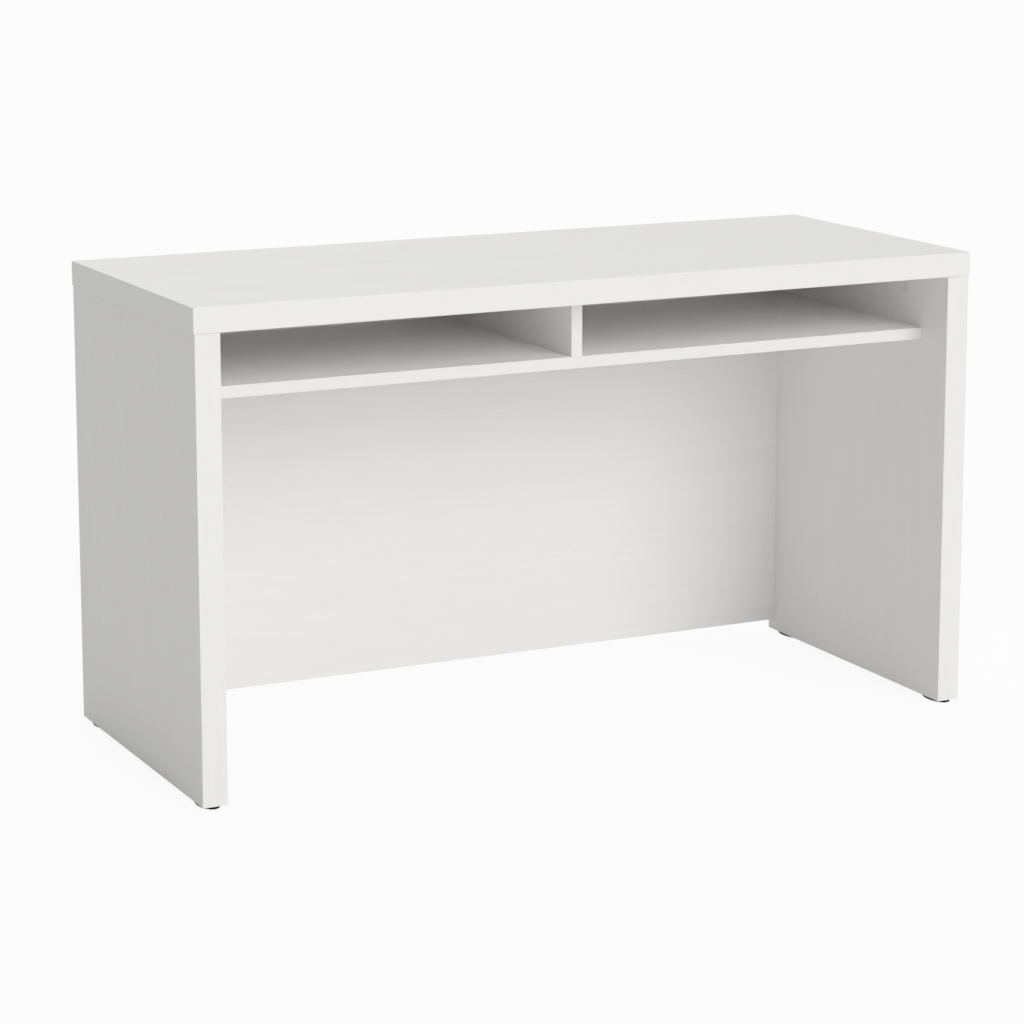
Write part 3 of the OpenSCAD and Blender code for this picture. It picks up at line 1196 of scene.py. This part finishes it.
@dataclass
class Glides:
    """The four oval glides that carry the end panels."""

    joinery: Joinery
    sole_round: float = 0.35 * MM
    sole_steps: int = 4
    sole_facing: float = 0.99
    brim: float = 0.2 * MM
    brim_steps: int = 2
    sole_rim: float = 4.0 * MM
    sole_dish: float = 0.4 * MM
    peg_chamfer: float = 0.8 * MM
    sides: int = 64
    peg_sides: int = 32
    pegs: Pegs = Pegs()
    finish: MouldedPlastic = MouldedPlastic(
        (0.004, 0.004, 0.0043), (0.009, 0.009, 0.0094), satin=0.62, shine=0.03
    )

    def pad(self, low: Vector, high: Vector) -> Piece:
        """Models the oval pad, with a rounded sole that is hollowed a little.

        Args:
            low: The lowest corner of the glide.
            high: Its highest corner.

        Returns:
            The pad, centred on the origin, with its sole on the floor.
        """
        size = high - low
        height = self.pegs.pad_height
        piece = disc("pad", size.x / 2, height, self.sides)
        piece.scale.y = size.y / size.x
        piece.location.z = height
        settle(piece)
        ease(piece, edge_at(2, 0.0), self.sole_round, self.sole_steps)
        ease(piece, edge_at(2, height), self.brim, self.brim_steps)

        def on_sole(middle: Vector, normal: Vector) -> bool:
            """Says yes to the flat face that stands on the floor."""
            return normal.z < -self.sole_facing and middle.z < self.brim

        pick_faces(piece, on_sole)
        bpy.ops.mesh.inset(thickness=self.sole_rim)
        bpy.ops.transform.translate(value=(0, 0, self.sole_dish))
        bpy.ops.object.mode_set(mode="OBJECT")
        return piece

    def peg(self, top: float, way: int) -> Piece:
        """Models one peg, chamfered where it enters the panel."""
        length = top - self.pegs.pad_height / 2
        piece = disc("peg", self.pegs.radius, length, self.peg_sides)
        ease(piece, edge_at(2, 0.0), self.peg_chamfer, 1)
        piece.location = (0, way * self.pegs.spacing / 2, top)
        return settle(piece)

    def build(self) -> list[Piece]:
        """Models one glide and copies it to its four places.

        Returns:
            The glides.
        """
        material = self.finish.material("black glide plastic")
        low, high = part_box(GLIDES[0])
        model = self.pad(low, high)
        for way in (-1, 1):
            peg = self.peg(high.z, way)
            apply(model, "BOOLEAN", operation="UNION", solver="EXACT", object=peg)
            bpy.data.objects.remove(peg)
        pieces = []
        for node in GLIDES:
            low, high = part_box(node)
            middle = (low + high) / 2
            middle.z = 0
            piece = copy_to(model, Matrix.Translation(middle))
            piece.name = piece.data.name = f"finished_{node}"
            pieces.append(self.joinery.finish(piece, node, "glide_plastic", material))
        bpy.data.objects.remove(model)
        return pieces


@dataclass
class ClosedInParts:
    """The parts inside the panels and joints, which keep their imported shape."""

    zinc: PlatedMetal = PlatedMetal((0.50, 0.51, 0.53), (0.40, 0.41, 0.43), 0.35)
    steel: PlatedMetal = PlatedMetal((0.62, 0.63, 0.64), (0.52, 0.53, 0.54), 0.25)

    def dress(self, nodes: list[str], material: bpy.types.Material) -> list[Piece]:
        """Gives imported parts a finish.

        Args:
            nodes: Their names.
            material: The finish.

        Returns:
            The parts.
        """
        parts = [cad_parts[node] for node in nodes]
        for part in parts:
            for slot in part.material_slots:
                slot.material = material
            log.info("%s: dressed in %s", part.name, material.name)
        return parts

    def build(self) -> list[Piece]:
        """Dresses every part that is closed in.

        Returns:
            The parts.
        """
        top = ["front_rail", "back_rail", "left_rail", "right_rail", "centre_rail"]
        end = ["front_stile", "back_stile", "top_rail", "shelf_rail", "bottom_rail"]
        frames = [f"top_{name}" for name in top]
        frames += [f"{side.word}_{name}" for side in Side for name in end]
        cores = ["top_core_left", "top_core_right", "left_core", "right_core"]
        parts = self.dress(frames, PressedChips().material("raw particle board"))
        parts += self.dress(cores, KraftPaper().material("brown core paper"))
        parts += self.dress(["cam_nuts"], self.zinc.material("die-cast zinc"))
        steel = self.steel.material("plated steel")
        parts += self.dress(["cam_bolts", "panel_screws"], steel)
        parts += self.dress(["dowels"], TurnedBeech().material("turned beech"))
        return parts


# ---- Studio ----


@dataclass(frozen=True)
class Lamp:
    """A broad, far softbox."""

    name: str
    azimuth: float
    elevation: float
    strength: float
    spread: float

    def hang(self) -> None:
        """Hangs the lamp; azimuth 0 shines from the open front, 90 from the right."""
        light = bpy.data.lights.new(self.name, "SUN")
        light.energy = self.strength
        light.angle = math.radians(self.spread)
        lamp = bpy.data.objects.new(self.name, light)
        bpy.context.scene.collection.objects.link(lamp)
        turn, rise = math.radians(self.azimuth), math.radians(self.elevation)
        away = Vector(
            (math.sin(turn) * math.cos(rise), -math.cos(turn) * math.cos(rise), math.sin(rise))
        )
        lamp.rotation_euler = away.to_track_quat("Z", "Y").to_euler()


@dataclass
class Studio:
    """A plain pale floor, soft light and the camera."""

    floor_half: float = 60.0
    floor_colour: Colour = (0.87, 0.87, 0.87)
    floor_white: float = 0.88
    room_light: float = 0.05
    soft_curve: float = 1.5
    lamps: tuple[Lamp, ...] = (
        Lamp("front softbox", 12.0, 22.0, 1.65, 42.0),
        Lamp("top softbox", 0.0, 80.0, 0.86, 60.0),
        Lamp("back softbox", 170.0, 45.0, 1.20, 45.0),
    )
    camera_place: Triple = (-2.260, -4.526, 1.461)
    camera_turn: float = 26.29
    camera_tip: float = 10.30
    lens: float = 110.9
    rise: float = 0.12
    sight: float = 200.0

    def floor(self) -> None:
        """Lays the floor, which looks mostly white to the camera."""
        let_go()
        bpy.ops.mesh.primitive_plane_add(size=2 * self.floor_half)
        sheet = bpy.context.object
        sheet.name = "studio_floor"
        shop = MaterialShop("pale studio floor")
        paper = shop.node("ShaderNodeBsdfDiffuse", inputs={"Color": (*self.floor_colour, 1.0)})
        white = shop.node("ShaderNodeEmission", inputs={"Strength": 1.0})
        seen = Signal(shop, shop.node("ShaderNodeLightPath").outputs["Is Camera Ray"])
        mixed = shop.node(
            "ShaderNodeMixShader",
            inputs={0: seen * self.floor_white, 1: paper.outputs[0], 2: white.outputs[0]},
        )
        shop.node("ShaderNodeOutputMaterial", inputs={"Surface": mixed.outputs[0]})
        sheet.data.materials.append(shop.material)

    def room(self) -> None:
        """Gives the room its even light, and a white wall behind the table."""
        world = bpy.data.worlds.new("studio room")
        bpy.context.scene.world = world
        world.use_nodes = True
        bench = NodeBench(world.node_tree)
        seen = bench.node("ShaderNodeLightPath").outputs["Is Camera Ray"]
        light = bench.node("ShaderNodeBackground", inputs={"Strength": self.room_light})
        wall = bench.node("ShaderNodeBackground", inputs={"Color": WHITE, "Strength": 1.0})
        pick = bench.node(
            "ShaderNodeMixShader", inputs={0: seen, 1: light.outputs[0], 2: wall.outputs[0]}
        )
        bench.node("ShaderNodeOutputWorld", inputs={"Surface": pick.outputs[0]})

    def camera(self) -> None:
        """Sets up the camera, a little to the left of the front and above the top."""
        eye = bpy.data.cameras.new("studio camera")
        eye.lens = self.lens
        eye.shift_y = -self.rise
        eye.clip_end = self.sight
        stand = bpy.data.objects.new("studio camera", eye)
        bpy.context.scene.collection.objects.link(stand)
        stand.location = self.camera_place
        stand.rotation_euler = (
            math.radians(90.0 - self.camera_tip),
            0.0,
            math.radians(-self.camera_turn),
        )
        bpy.context.scene.camera = stand

    def build(self) -> None:
        """Sets up the floor, the light and the camera."""
        self.floor()
        self.room()
        for lamp in self.lamps:
            lamp.hang()
        self.camera()
        look = bpy.context.scene.view_settings
        look.view_transform = "Standard"
        look.gamma = self.soft_curve
        log.info("studio: %d lamps", len(self.lamps))


# ---- The table ----


def main() -> None:
    """Builds the table and its studio."""
    logging.basicConfig(level=logging.INFO, format="%(name)s: %(message)s")
    drilling = Drilling()
    drilling.gather()
    joinery = Joinery(drilling)
    pieces = Top(joinery).build()
    for side in Side:
        pieces += EndPanel(joinery, side).build()
    pieces += Carcass(joinery).build()
    pieces += CoverCaps(joinery).build()
    pieces += Glides(joinery).build()
    pieces += ClosedInParts().build()
    log.info("table: %d pieces", len(pieces))
    Studio().build()


if __name__ == "__main__":
    main()
